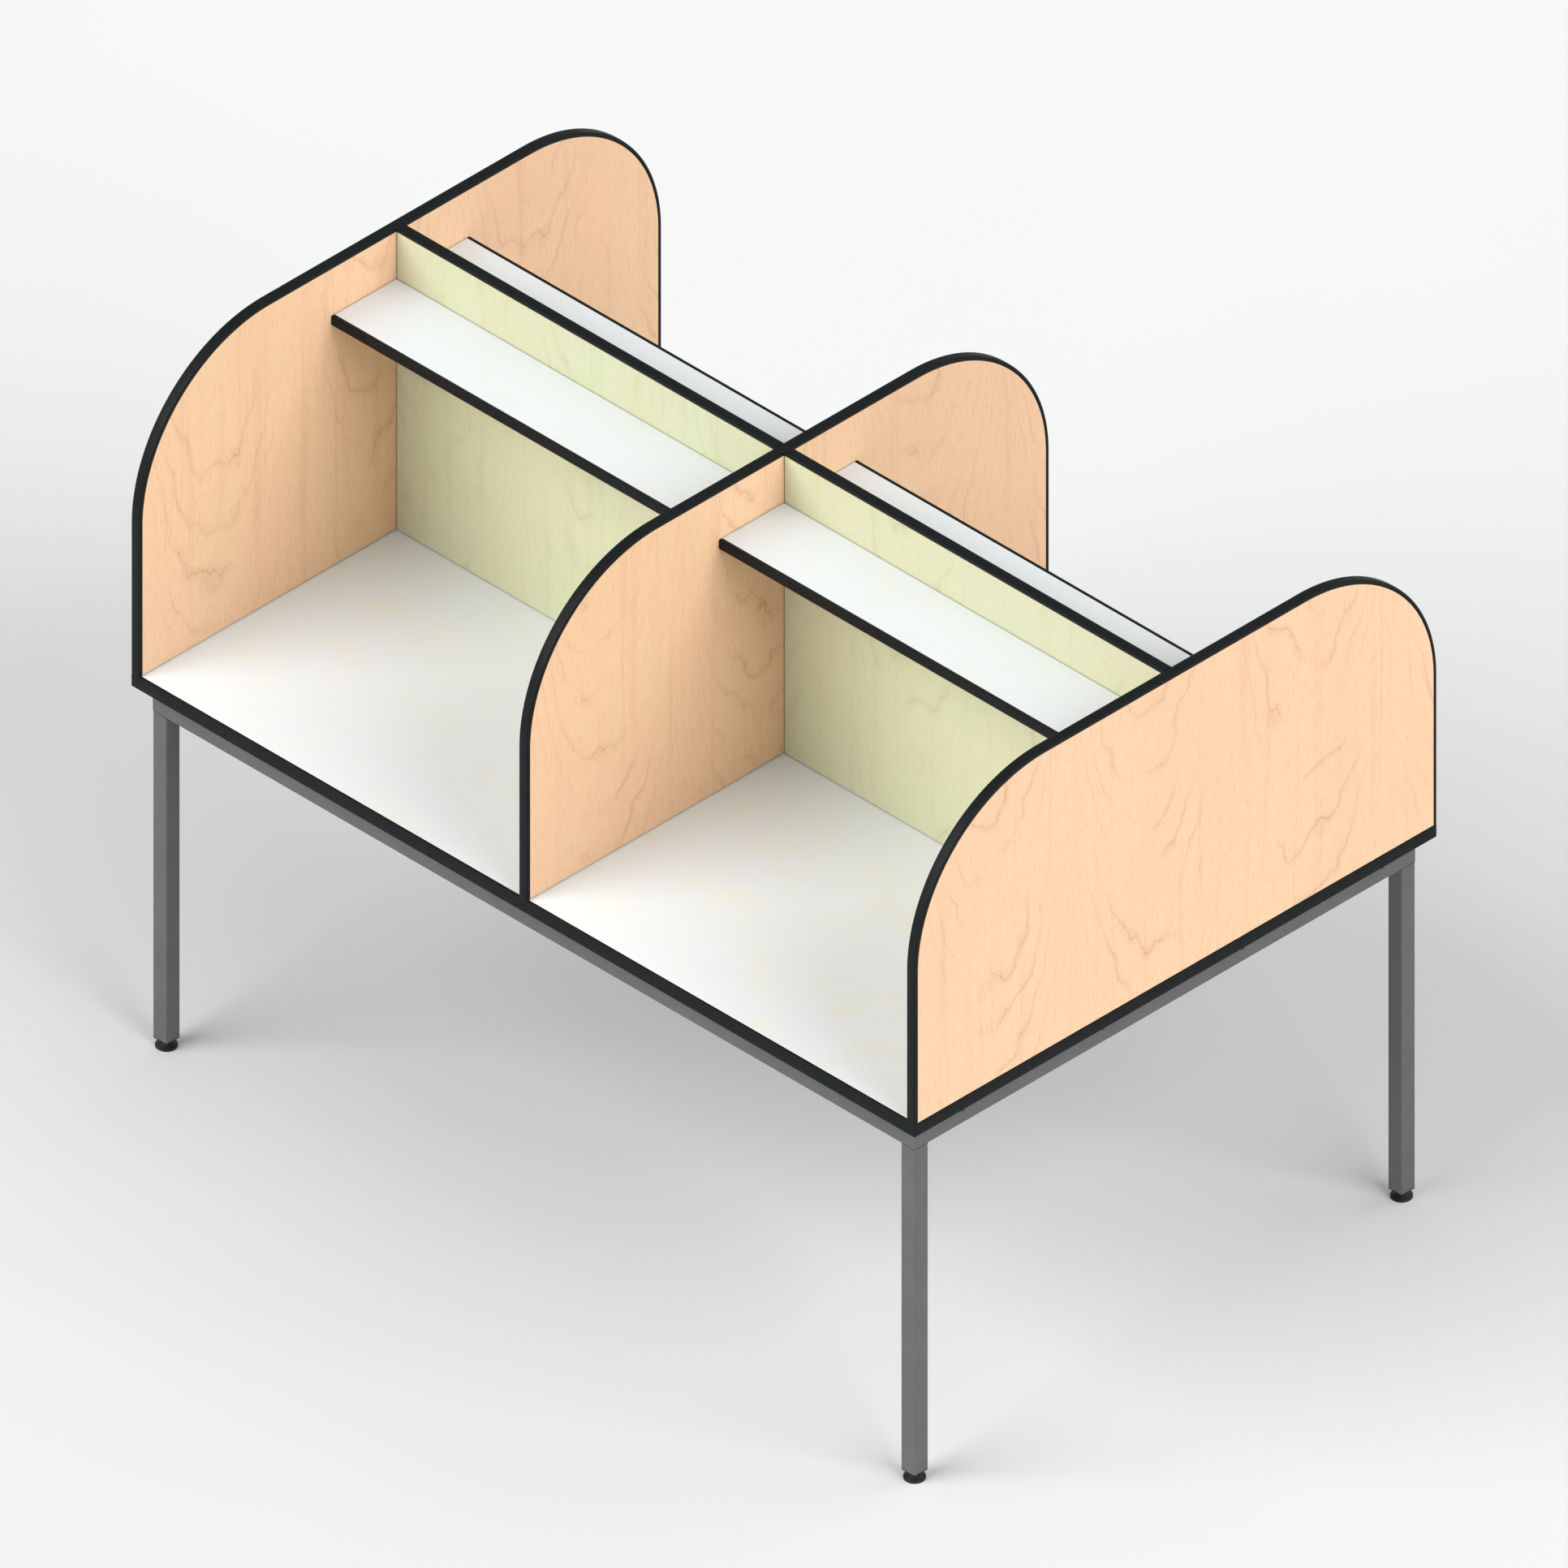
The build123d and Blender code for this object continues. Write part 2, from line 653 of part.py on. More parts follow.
for row, y_sign in rows.items():
    for side, x_sign in sides.items():
        corner = f"{row}_{side}"
        centre = (x_sign * leg_x, y_sign * leg_y)

        with BuildPart() as plug:
            with BuildSketch(Plane.XY.offset(flange_bottom)):
                with Locations(centre):
                    RectangleRounded(leg_size, leg_size, tube_corner_radius)
            extrude(amount=plug_flange_height)
            body_size = leg_size - 2 * tube_wall - 2 * plug_clearance
            with BuildSketch(Plane.XY.offset(foot_height)):
                with Locations(centre):
                    RectangleRounded(body_size, body_size, plug_corner_radius)
            extrude(amount=plug_body_height)
            plug_top = foot_height + plug_body_height
            drill([centre], stem_radius + fit_clearance, flange_bottom, plug_top)
        save(plug, f"leg_plug_{corner}")

        with BuildPart() as stem:
            with Locations((*centre, disc_floor)):
                Cylinder(disc_radius, disc_height, align=FLOOR_UP)
                Cylinder(neck_radius, hexagon_bottom - disc_floor, align=FLOOR_UP)
            with BuildSketch(Plane.XY.offset(hexagon_bottom)):
                with Locations(centre):
                    RegularPolygon(hexagon_across_flats / 2, 6, major_radius=False)
            extrude(amount=hexagon_height)
            with Locations((*centre, flange_bottom)):
                Cylinder(stem_radius, stem_length, align=FLOOR_UP)
        save(stem, f"leveller_screw_{corner}")

        with BuildPart() as foot:
            with Locations((*centre, 0)):
                Cylinder(foot_radius, foot_rim_height, align=FLOOR_UP)
            with Locations((*centre, foot_rim_height)):
                cone_height = foot_top - foot_rim_height
                Cone(foot_radius, foot_top_radius, cone_height, align=FLOOR_UP)
            fillet(foot.faces().sort_by(Axis.Z)[-1].outer_wire().edges(), radius=foot_edge_radius)
            fillet(foot.faces().sort_by(Axis.Z)[0].outer_wire().edges(), radius=foot_edge_radius)
            drill([centre], neck_radius + fit_clearance, disc_floor, foot_top)
            drill([centre], disc_radius + fit_clearance, disc_floor, disc_top + foot_headroom)
        save(foot, f"leveller_foot_{corner}")
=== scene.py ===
"""Looks of a four-place study carrel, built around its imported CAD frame.

Maple-faced screens, pale maple spine, off-white laminate worktop and shelves, near-black
moulded edging, and a grey powder-coated table frame. Everything is in metres, in the
frame's own axes: +X along the width, -Y to the front, +Z up.

The boards, edgings, bands, plugs and levelling feet are modelled here with finer shapes
than the CAD solids that they stand for. The steel tubes, plates and fasteners are the CAD
nodes themselves. The weld beads have no CAD node.
"""

import json
import math
from functools import partial

import bmesh
import bpy
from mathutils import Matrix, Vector


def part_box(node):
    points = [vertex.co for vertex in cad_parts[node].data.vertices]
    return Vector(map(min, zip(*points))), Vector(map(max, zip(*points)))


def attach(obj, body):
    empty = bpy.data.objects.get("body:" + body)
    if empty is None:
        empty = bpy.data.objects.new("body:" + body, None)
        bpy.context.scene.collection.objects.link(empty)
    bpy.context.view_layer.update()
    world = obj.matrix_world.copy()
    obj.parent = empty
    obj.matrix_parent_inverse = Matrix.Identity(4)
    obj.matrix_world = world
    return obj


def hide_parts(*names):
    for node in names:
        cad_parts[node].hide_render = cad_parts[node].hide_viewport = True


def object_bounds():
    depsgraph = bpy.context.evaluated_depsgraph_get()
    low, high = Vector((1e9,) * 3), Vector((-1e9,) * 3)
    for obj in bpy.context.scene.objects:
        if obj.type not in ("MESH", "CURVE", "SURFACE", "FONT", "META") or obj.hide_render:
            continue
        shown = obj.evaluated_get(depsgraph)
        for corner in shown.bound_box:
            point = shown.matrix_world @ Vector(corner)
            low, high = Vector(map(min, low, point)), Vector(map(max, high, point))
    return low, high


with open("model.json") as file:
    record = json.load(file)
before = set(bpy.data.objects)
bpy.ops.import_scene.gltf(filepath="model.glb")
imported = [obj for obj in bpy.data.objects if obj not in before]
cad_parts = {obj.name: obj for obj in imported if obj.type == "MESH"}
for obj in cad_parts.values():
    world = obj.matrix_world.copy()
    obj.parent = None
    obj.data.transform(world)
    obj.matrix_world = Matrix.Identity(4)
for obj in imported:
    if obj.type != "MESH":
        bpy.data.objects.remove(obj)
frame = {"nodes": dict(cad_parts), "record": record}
cad_low, cad_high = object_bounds()
nodes = frame["nodes"]

SIDES = ("left", "right")
ROWS = ("front", "back")
SCREENS = ("side_screen_left", "side_screen_middle", "side_screen_right")
CARREL = "carrel"
MM = 0.001

# Boards and edgings: details that the CAD solids leave out
SCREEN_CORNER_RADIUS = 304.8 * MM  # finished corner of a side screen
ARC_STEPS = 40  # steps round that corner
LAMINATE_LINE = 1.8 * MM  # trimmed arris of a laminate face, where the dark core shows
TONGUE_WIDTH = 1.6 * MM
TONGUE_DEPTH = 8.0 * MM
LIP = 0.35 * MM  # trimmed corner at the back of an edging
EDGING_DOME = 2.6 * MM  # how far an edging's dome falls from its middle to its sides
DOME_STEPS = 16
BAND_DOME = 1.8 * MM  # eased edges of a worktop band
BAND_CORNER = 1.6 * MM  # eased upright corners of the front and back bands
EASE_STEPS = 6
CORNER_STEPS = 8

# Levelling screw: M10 with a 1.5 mm pitch
THREAD_RADIUS = 5.0 * MM
THREAD_PITCH = 1.5 * MM
THREAD_DEPTH = 0.92 * MM
THREAD_ROWS = 8  # helical rows of points in one pitch
HEXAGON_FLATS = 14.0 * MM
HEXAGON_HEIGHT = 7.0 * MM
HEXAGON_TRIM = 0.7 * MM

# Weld beads
WELD_SIZE = 2.4 * MM
WELD_RIPPLE = 1.7 * MM  # distance from one ripple to the next
WELD_TAPER = 2.0 * MM  # length over which each end runs out

# Sheets of maple veneer, each with its heart in the middle
VENEER_WIDTH = 370 * MM
VENEER_SHIFT = 8 * VENEER_WIDTH + 60 * MM


# ------------------------------------------------------------------ materials

# Noise scales are features per metre along X, Y and Z. Bump heights are in metres.


def srgb(red, green, blue):
    """A colour as it is seen, 0 to 255, as the linear values a shader takes."""
    linear = []
    for channel in (red, green, blue):
        c = channel / 255
        linear.append(c / 12.92 if c <= 0.04045 else ((c + 0.055) / 1.055) ** 2.4)
    return (*linear, 1.0)


class Finish:
    """One material: a Principled shader and short ways to add nodes to it."""

    def __init__(self, name, roughness=0.5, metallic=0.0, specular=0.5):
        self.material = bpy.data.materials.new(name)
        self.material.use_nodes = True
        self.tree = self.material.node_tree
        self.shader = self.tree.nodes["Principled BSDF"]
        self.shader.inputs["Roughness"].default_value = roughness
        self.shader.inputs["Metallic"].default_value = metallic
        self.shader.inputs["Specular IOR Level"].default_value = specular
        self.place = self.tree.nodes.new("ShaderNodeTexCoord").outputs["Object"]

    def put(self, value, socket):
        """Link an output to a socket, or set the socket to a plain value."""
        if isinstance(value, bpy.types.NodeSocket):
            self.tree.links.new(value, socket)
        else:
            socket.default_value = value

    def stretched(self, scale):
        """The object's own coordinates, multiplied by a scale along each axis."""
        mapping = self.tree.nodes.new("ShaderNodeMapping")
        mapping.inputs["Scale"].default_value = scale
        self.tree.links.new(self.place, mapping.inputs["Vector"])
        return mapping.outputs["Vector"]

    def noise(self, scale, detail=2.0, roughness=0.5):
        """Fractal noise, about 0.3 to 0.7."""
        texture = self.tree.nodes.new("ShaderNodeTexNoise")
        texture.inputs["Scale"].default_value = 1.0
        texture.inputs["Detail"].default_value = detail
        texture.inputs["Roughness"].default_value = roughness
        self.tree.links.new(self.stretched(scale), texture.inputs["Vector"])
        return texture.outputs["Fac"]

    def cells(self, scale):
        """Distance to the middle of the nearest of many irregular cells."""
        texture = self.tree.nodes.new("ShaderNodeTexVoronoi")
        texture.inputs["Scale"].default_value = 1.0
        self.tree.links.new(self.stretched(scale), texture.inputs["Vector"])
        return texture.outputs["Distance"]

    def maths(self, operation, first, second=0.0, third=0.0):
        """One maths node, of outputs or plain values."""
        node = self.tree.nodes.new("ShaderNodeMath")
        node.operation = operation
        for value, socket in zip((first, second, third), node.inputs):
            self.put(value, socket)
        return node.outputs[0]

    def spread(self, value, low, high, to_low=0.0, to_high=1.0):
        """Map low..high to to_low..to_high, smoothly and clamped."""
        node = self.tree.nodes.new("ShaderNodeMapRange")
        node.interpolation_type = "SMOOTHSTEP"
        for given, name in (
            (value, "Value"),
            (low, "From Min"),
            (high, "From Max"),
            (to_low, "To Min"),
            (to_high, "To Max"),
        ):
            self.put(given, node.inputs[name])
        return node.outputs["Result"]

    def mix(self, factor, first, second):
        """Colour from first, at factor 0, to second, at factor 1."""
        node = self.tree.nodes.new("ShaderNodeMix")
        node.data_type = "RGBA"
        # A Mix node has sockets of every data type, so these are the factor and the colours
        factor_socket, first_socket, second_socket = node.inputs[0], node.inputs[6], node.inputs[7]
        self.put(factor, factor_socket)
        self.put(first, first_socket)
        self.put(second, second_socket)
        return node.outputs[2]

    def colour(self, value):
        self.put(value, self.shader.inputs["Base Color"])

    def roughness(self, value):
        self.put(value, self.shader.inputs["Roughness"])

    def bump(self, height, distance, under=None):
        """A bump of this height in metres. under is a bump that it adds to."""
        node = self.tree.nodes.new("ShaderNodeBump")
        node.inputs["Distance"].default_value = distance
        node.inputs["Strength"].default_value = 1.0
        self.put(height, node.inputs["Height"])
        if under is not None:
            self.tree.links.new(under, node.inputs["Normal"])
        return node.outputs["Normal"]

    def normal(self, value):
        self.put(value, self.shader.inputs["Normal"])


def maple(name, pale, blush, streaked, line, across):
    """Maple laminate with upright grain. across is the index of the axis across the grain."""
    finish = Finish(name, roughness=0.48, specular=0.35)

    def along_grain(across_scale, along_scale):
        scale = [2.3, 2.3, along_scale]
        scale[across] = across_scale
        return tuple(scale)

    # Broad soft clouds of two tints, then faint streaks and short fibres along the grain
    cloud = finish.noise(along_grain(6, 2.0), detail=3)
    colour = finish.mix(finish.spread(cloud, 0.36, 0.66), pale, blush)
    streak = finish.noise(along_grain(38, 1.3), detail=3, roughness=0.6)
    colour = finish.mix(finish.spread(streak, 0.50, 0.78, 0.0, 0.7), colour, streaked)
    fibre = finish.noise(along_grain(250, 34), detail=3, roughness=0.7)
    colour = finish.mix(finish.spread(fibre, 0.50, 0.68, 0.0, 0.62), colour, streaked)
    colour = finish.mix(finish.spread(fibre, 0.32, 0.46, 0.45, 0.0), colour, pale)
    fleck = finish.noise(along_grain(330, 130), detail=3, roughness=0.75)
    colour = finish.mix(finish.spread(fleck, 0.53, 0.72, 0.0, 0.28), colour, line)

    # Growth lines: contours of a height that rises along the grain and falls away from the
    # heart of each sheet of veneer, which draws nested cups, steep at their sides
    axes = finish.tree.nodes.new("ShaderNodeSeparateXYZ")
    finish.tree.links.new(finish.place, axes.inputs[0])
    from_heart = finish.maths("ADD", axes.outputs[across], VENEER_SHIFT)
    half_sheet = VENEER_WIDTH / 2
    share = finish.maths("DIVIDE", finish.maths("PINGPONG", from_heart, half_sheet), half_sheet)
    arch = finish.maths("MULTIPLY", finish.maths("POWER", share, 2.4), -4.6)
    height = finish.maths("MULTIPLY_ADD", axes.outputs[2], 8.5, arch)
    sway = finish.noise(along_grain(5.2, 3.4), detail=2)
    height = finish.maths("MULTIPLY_ADD", sway, 2.4, height)
    waver = finish.noise(along_grain(20, 15), detail=2.6, roughness=0.5)
    height = finish.maths("MULTIPLY_ADD", waver, 1.0, height)
    rings = finish.maths("PINGPONG", height, 0.5)
    thin = finish.spread(rings, 0.0, 0.030, 0.62, 0.0)
    soft = finish.spread(rings, 0.0, 0.22, 0.20, 0.0)
    shown = finish.spread(finish.noise(along_grain(7, 5), detail=2), 0.40, 0.62)
    shown = finish.maths("MULTIPLY", shown, finish.spread(share, 0.40, 0.85, 1.0, 0.30))
    figure = finish.maths("MULTIPLY", finish.maths("MAXIMUM", thin, soft), shown)
    colour = finish.mix(figure, colour, line)

    finish.colour(colour)
    finish.roughness(finish.spread(streak, 0.3, 0.7, 0.44, 0.53))
    suede = finish.bump(finish.noise((2600, 2600, 2600), detail=1), 0.00002)
    finish.normal(finish.bump(fibre, 0.00004, under=suede))
    return finish.material


def laminate(name, base, mottle, shade):
    """Matt off-white laminate: a faint cloudy mottle under a fine suede texture."""
    finish = Finish(name, roughness=0.42, specular=0.4)
    clouds = finish.noise((11, 11, 11), detail=4, roughness=0.6)
    specks = finish.noise((95, 95, 95), detail=2)
    colour = finish.mix(finish.spread(clouds, 0.50, 0.72, 0.0, 0.8), base, mottle)
    colour = finish.mix(finish.spread(specks, 0.55, 0.8, 0.0, 0.35), colour, shade)
    finish.colour(colour)
    wiped = finish.noise((3.5, 9, 6), detail=3)
    finish.roughness(finish.spread(wiped, 0.35, 0.7, 0.37, 0.47))
    finish.normal(finish.bump(finish.noise((2400, 2400, 2400), detail=2), 0.00003))
    return finish.material


def edging_plastic(name, base, worn):
    """Extruded plastic edging: satin near-black, finely grained, a little scuffed."""
    finish = Finish(name, roughness=0.5, specular=0.14)
    scuffs = finish.noise((55, 55, 20), detail=4, roughness=0.7)
    cloud = finish.noise((6, 6, 6), detail=2)
    amount = finish.maths("MULTIPLY", finish.spread(scuffs, 0.56, 0.74), finish.spread(cloud, 0.4, 0.7))
    finish.colour(finish.mix(finish.maths("MULTIPLY", amount, 0.5), base, worn))
    finish.roughness(finish.spread(scuffs, 0.35, 0.72, 0.46, 0.58))
    finish.normal(finish.bump(finish.noise((1700, 1700, 1700), detail=2), 0.00005))
    return finish.material


def powder_coat(name, base, light):
    """Grey powder coat on steel: orange peel, faint tone changes and a soft sheen."""
    finish = Finish(name, roughness=0.40, specular=0.5)
    tone = finish.noise((14, 14, 14), detail=3)
    speckle = finish.noise((1300, 1300, 1300), detail=1)
    colour = finish.mix(finish.spread(tone, 0.35, 0.7, 0.0, 0.5), base, light)
    colour = finish.mix(finish.spread(speckle, 0.58, 0.75, 0.0, 0.35), colour, light)
    finish.colour(colour)
    finish.roughness(finish.spread(tone, 0.3, 0.7, 0.36, 0.46))
    peel = finish.bump(finish.noise((420, 420, 420), detail=2), 0.00008)
    finish.normal(peel)
    return finish.material


def bare_metal(name, base, tint, roughness):
    """Plated or cast metal with fine drawn lines and slight staining."""
    finish = Finish(name, roughness=roughness, metallic=1.0)
    stain = finish.noise((160, 160, 160), detail=3)
    finish.colour(finish.mix(finish.spread(stain, 0.4, 0.7), base, tint))
    finish.roughness(finish.spread(stain, 0.3, 0.7, roughness - 0.06, roughness + 0.08))
    finish.normal(finish.bump(finish.noise((900, 900, 5200), detail=2), 0.00003))
    return finish.material


def moulded_nylon(name, base, light):
    """Black moulded nylon with a fine spark-eroded texture."""
    finish = Finish(name, roughness=0.5, specular=0.4)
    tone = finish.noise((220, 220, 220), detail=2)
    finish.colour(finish.mix(finish.spread(tone, 0.45, 0.75), base, light))
    finish.roughness(finish.spread(tone, 0.3, 0.7, 0.44, 0.58))
    finish.normal(finish.bump(finish.noise((2800, 2800, 2800), detail=2), 0.00006))
    return finish.material


def chipboard(name, base, dark, pale):
    """Pressed wood chips, seen at cut edges and in holes."""
    finish = Finish(name, roughness=0.8, specular=0.2)
    chips = finish.cells((340, 340, 900))
    colour = finish.mix(finish.spread(chips, 0.15, 0.75), pale, base)
    dust = finish.noise((700, 700, 1500), detail=3)
    finish.colour(finish.mix(finish.spread(dust, 0.5, 0.75), colour, dark))
    finish.roughness(finish.spread(dust, 0.3, 0.7, 0.72, 0.9))
    finish.normal(finish.bump(chips, 0.0002))
    return finish.material


def laminate_core(name, base, light):
    """Trimmed edge of high-pressure laminate: layers of dark resin-soaked paper."""
    finish = Finish(name, roughness=0.6, specular=0.3)
    fleck = finish.noise((300, 300, 300), detail=3)
    finish.colour(finish.mix(finish.spread(fleck, 0.45, 0.75), base, light))
    finish.roughness(finish.spread(fleck, 0.3, 0.7, 0.52, 0.7))
    finish.normal(finish.bump(fleck, 0.00004))
    return finish.material


def kraft_backer(name, base, dark):
    """Brown balancing sheet under the worktop."""
    finish = Finish(name, roughness=0.55, specular=0.3)
    fibres = finish.noise((60, 700, 60), detail=3)
    finish.colour(finish.mix(finish.spread(fibres, 0.35, 0.7), base, dark))
    finish.roughness(finish.spread(fibres, 0.3, 0.7, 0.5, 0.64))
    finish.normal(finish.bump(fibres, 0.00003))
    return finish.material


def round_timber(name, base, dark):
    """Beech dowel, grain along X."""
    finish = Finish(name, roughness=0.6, specular=0.3)
    grain = finish.noise((30, 900, 900), detail=3)
    finish.colour(finish.mix(finish.spread(grain, 0.35, 0.7), base, dark))
    finish.roughness(finish.spread(grain, 0.3, 0.7, 0.55, 0.68))
    finish.normal(finish.bump(grain, 0.00006))
    return finish.material


FINISHES = {
    "maple": maple(
        "maple",
        pale=srgb(229, 193, 156),
        blush=srgb(230, 190, 155),
        streaked=srgb(216, 176, 142),
        line=srgb(176, 132, 100),
        across=1,
    ),
    "pale_maple": maple(
        "pale_maple",
        pale=srgb(198, 203, 170),
        blush=srgb(200, 200, 168),
        streaked=srgb(190, 194, 156),
        line=srgb(170, 164, 122),
        across=0,
    ),
    "worktop_laminate": laminate(
        "worktop_laminate", srgb(218, 224, 228), srgb(220, 223, 214), srgb(213, 219, 223)
    ),
    "shelf_laminate": laminate(
        "shelf_laminate", srgb(206, 210, 212), srgb(206, 209, 204), srgb(201, 205, 207)
    ),
    "edging": edging_plastic("edging", srgb(13, 17, 18), srgb(32, 37, 37)),
    "edge_band": edging_plastic("edge_band", srgb(12, 16, 17), srgb(30, 35, 35)),
    "frame_steel": powder_coat("frame_steel", srgb(80, 81, 82), srgb(91, 92, 93)),
    "plated_steel": bare_metal("plated_steel", srgb(74, 76, 79), srgb(58, 59, 61), 0.38),
    "cast_zinc": bare_metal("cast_zinc", srgb(150, 152, 155), srgb(132, 134, 138), 0.46),
    "brass": bare_metal("brass", srgb(196, 160, 92), srgb(170, 132, 70), 0.36),
    "plug_plastic": moulded_nylon("plug_plastic", srgb(14, 15, 16), srgb(24, 25, 26)),
    "foot_plastic": moulded_nylon("foot_plastic", srgb(13, 14, 15), srgb(24, 25, 26)),
    "particleboard": chipboard(
        "particleboard", srgb(186, 152, 108), srgb(122, 92, 60), srgb(214, 186, 142)
    ),
    "backer": kraft_backer("backer", srgb(126, 102, 78), srgb(104, 82, 62)),
    "beech": round_timber("beech", srgb(214, 176, 132), srgb(188, 146, 102)),
}
LAMINATE_CORE = laminate_core("laminate_core", srgb(46, 36, 30), srgb(64, 52, 44))

node_slots = {s["node"]: s["material_slot"] for s in frame["record"]["subparts"]}
for node_name, node in nodes.items():
    node.data.materials.clear()
    node.data.materials.append(FINISHES[node_slots[node_name]])


# ------------------------------------------------------------------ mesh building


def add_piece(name, points, faces, finish_slot, stands_for=(), body=CARREL, materials=(), uses=()):
    """Make a mesh object with crisp corners, put it on a body and give it its finish.

    uses gives each face its place in materials, for a piece with more than one.
    """
    mesh = bpy.data.meshes.new(name)
    mesh.from_pydata([tuple(p) for p in points], [], faces)
    for material in materials or (FINISHES[finish_slot],):
        mesh.materials.append(material)
    if uses:
        mesh.polygons.foreach_set("material_index", uses)
    tidy_mesh(mesh)
    piece = bpy.data.objects.new(name, mesh)
    bpy.context.scene.collection.objects.link(piece)
    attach(piece, body)
    if stands_for:
        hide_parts(*stands_for)
    return piece


def tidy_mesh(mesh):
    """Merge doubled points, turn every face outwards and shade smooth between sharp corners."""
    shape = bmesh.new()
    shape.from_mesh(mesh)
    bmesh.ops.remove_doubles(shape, verts=shape.verts, dist=1e-6)
    bmesh.ops.dissolve_degenerate(shape, edges=shape.edges, dist=1e-7)
    bmesh.ops.recalc_face_normals(shape, faces=shape.faces)
    shape.to_mesh(mesh)
    shape.free()
    mesh.shade_smooth()
    mesh.set_sharp_from_angle(angle=math.radians(32))


def skin(loops):
    """Join loops of equal length one to the next, then cap the first and the last."""
    count = len(loops[0])
    points = [point for loop in loops for point in loop]
    faces = []
    for start in range(0, len(points) - count, count):
        for i in range(count):
            j = (i + 1) % count
            faces.append((start + i, start + j, start + count + j, start + count + i))
    faces.append(tuple(range(count)))
    faces.append(tuple(reversed(range(len(points) - count, len(points)))))
    return points, faces


def several(shapes):
    """Several (points, faces) shapes as one."""
    points, faces = [], []
    for shape_points, shape_faces in shapes:
        start = len(points)
        points += shape_points
        faces += [tuple(start + i for i in face) for face in shape_faces]
    return points, faces


def arc(centre, radius, start_degrees, end_degrees, steps):
    """Points of an arc in a plane, both ends included."""
    turn = (end_degrees - start_degrees) / steps
    angles = [math.radians(start_degrees + i * turn) for i in range(steps + 1)]
    return [(centre[0] + radius * math.cos(a), centre[1] + radius * math.sin(a)) for a in angles]


def revolve(profile, centre, steps=48):
    """Turn a profile of (radius, height) points round an upright axis. Radius 0 is a pole."""
    points, rings, faces = [], [], []
    for radius, height in profile:
        count = 1 if radius == 0 else steps
        ring = []
        for i in range(count):
            angle = 2 * math.pi * i / steps
            ring.append(len(points))
            points.append(centre + Vector((radius * math.cos(angle), radius * math.sin(angle), height)))
        rings.append(ring)
    for lower, upper in zip(rings, rings[1:]):
        for i in range(steps):
            j = (i + 1) % steps
            corners = [lower[i % len(lower)], lower[j % len(lower)]]
            corners += [upper[j % len(upper)], upper[i % len(upper)]]
            face = tuple(dict.fromkeys(corners))
            if len(face) > 2:
                faces.append(face)
    return points, faces


# ------------------------------------------------------------------ laminate-faced boards


def add_board(name, outline, thin_axis, finish_slot):
    """A board with laminate on both faces, whose trimmed edges show the laminate's dark core.

    outline(inset) is its loop of points in the two axes that are left without thin_axis.
    """

    def placed(loop, height):
        points = [list(point) for point in loop]
        for point in points:
            point.insert(thin_axis, height)
        return points

    low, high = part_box(name)
    bottom, top = low[thin_axis], high[thin_axis]
    face, edge = outline(LAMINATE_LINE), outline(0.0)
    loops = [placed(face, bottom), placed(edge, bottom + LAMINATE_LINE)]
    loops += [placed(edge, top - LAMINATE_LINE), placed(face, top)]
    points, faces = skin(loops)
    laminate_face, core_line, sawn_edge = range(3)
    uses = [use for use in (core_line, sawn_edge, core_line) for _ in edge]
    uses += [laminate_face, laminate_face]
    materials = [FINISHES[finish_slot], LAMINATE_CORE, FINISHES["particleboard"]]
    add_piece(f"{name}_board", points, faces, finish_slot, [name], materials=materials, uses=uses)


def rectangle(low_a, high_a, low_b, high_b, inset=0.0):
    """Corners of a rectangle in a plane, its sides moved in by inset."""
    low_a, high_a, low_b, high_b = low_a + inset, high_a - inset, low_b + inset, high_b - inset
    return [(low_a, low_b), (high_a, low_b), (high_a, high_b), (low_a, high_b)]


def screen_outline(low, high, radius, inset=0.0):
    """Side screen's outline as (y, z): square at the bottom, large quarter circles above."""
    bottom_left, bottom_right, _, _ = rectangle(low.y, high.y, low.z, high.z, inset)
    outline = [bottom_right]
    outline += arc((high.y - radius, high.z - radius), radius - inset, 0, 90, ARC_STEPS)
    outline += arc((low.y + radius, high.z - radius), radius - inset, 90, 180, ARC_STEPS)
    outline.append(bottom_left)
    return outline


def make_boards():
    """The three side screens, the two halves of the spine and the four shelves."""
    for name in SCREENS:
        low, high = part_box(name)
        edge_low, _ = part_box(f"{name}_edging")
        radius = SCREEN_CORNER_RADIUS - (low.y - edge_low.y)
        add_board(name, partial(screen_outline, low, high, radius), 0, "maple")
    for side in SIDES:
        low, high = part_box(f"spine_{side}")
        outline = partial(rectangle, low.x, high.x, low.z, high.z)
        add_board(f"spine_{side}", outline, 1, "pale_maple")
        for row in ROWS:
            low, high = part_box(f"shelf_{row}_{side}")
            outline = partial(rectangle, low.x, high.x, low.y, high.y)
            add_board(f"shelf_{row}_{side}", outline, 2, "shelf_laminate")


# ------------------------------------------------------------------ edgings and edge bands


def tee_section(width, thickness):
    """Section of a T-edging as (across, inward) points, its domed outer face at inward 0."""
    section = []
    for i in range(DOME_STEPS + 1):
        angle = math.pi * (1 - i / DOME_STEPS)
        across = math.copysign(math.sqrt(abs(math.cos(angle))), math.cos(angle)) * width / 2
        fall = EDGING_DOME * (1 - math.sqrt(max(math.sin(angle), 0.0)))
        section.append((across, fall))
    half, deep = TONGUE_WIDTH / 2, thickness + TONGUE_DEPTH
    section += [(width / 2, thickness - LIP), (width / 2 - LIP, thickness)]
    section += [(half, thickness), (half, deep), (-half, deep), (-half, thickness)]
    section += [(-width / 2 + LIP, thickness), (-width / 2, thickness - LIP)]
    return section


def swept(section, stations):
    """Sweep a section along stations of (origin, across direction, inward direction)."""
    loops = []
    for origin, across, inward in stations:
        loops.append([origin + a * across + b * inward for a, b in section])
    return skin(loops)


